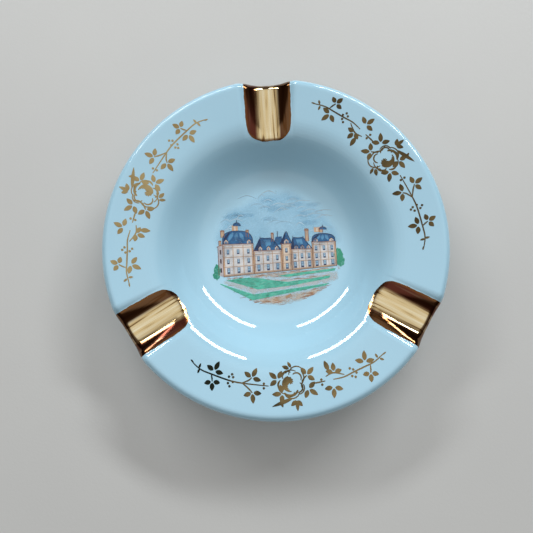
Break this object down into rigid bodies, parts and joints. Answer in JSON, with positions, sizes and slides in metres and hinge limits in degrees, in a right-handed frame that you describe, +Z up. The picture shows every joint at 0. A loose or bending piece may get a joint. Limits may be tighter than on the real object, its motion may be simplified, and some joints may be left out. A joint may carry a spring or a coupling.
{
  "type": "porcelain souvenir ashtray",
  "caption": "Round gilt porcelain souvenir ashtray with a wide rim, cigarette rests cut into it, gold flower sprays and a castle view printed in the well.",
  "frame": {"origin": "on the plate's axis, at the plane that the foot ring stands on", "axes": "+Z up along the plate's axis; +Y towards the back rest, the way up of the printed view; +X to its right"},
  "size_m": [0.135, 0.135, 0.0246],
  "materials": {
    "porcelain": "bare fired porcelain, seen only on the foot ring",
    "glaze": "high-gloss clear glaze over cool white porcelain",
    "rest_gold": "bright gold, brushed on in two or three strokes",
    "spray_gold": "fired gold transfer, slightly matt",
    "enamel_sky": "thin pale blue wash",
    "enamel_walls": "cream enamel",
    "enamel_roofs": "slate blue enamel",
    "enamel_greenery": "sea green enamel",
    "enamel_paths": "thin sand enamel",
    "enamel_windows": "pale blue enamel",
    "enamel_linework": "sepia line enamel"
  },
  "bodies": {
    "root": {"porcelain_body": "porcelain", "glaze_coat": "glaze", "rest_gilding_back": "rest_gold", "rest_gilding_left": "rest_gold", "rest_gilding_right": "rest_gold", "gold_spray_left": "spray_gold", "gold_spray_front": "spray_gold", "gold_spray_right": "spray_gold", "picture_sky": "enamel_sky", "picture_walls": "enamel_walls", "picture_roofs": "enamel_roofs", "picture_greenery": "enamel_greenery", "picture_paths": "enamel_paths", "picture_windows": "enamel_windows", "picture_linework": "enamel_linework"}
  },
  "joints": []
}
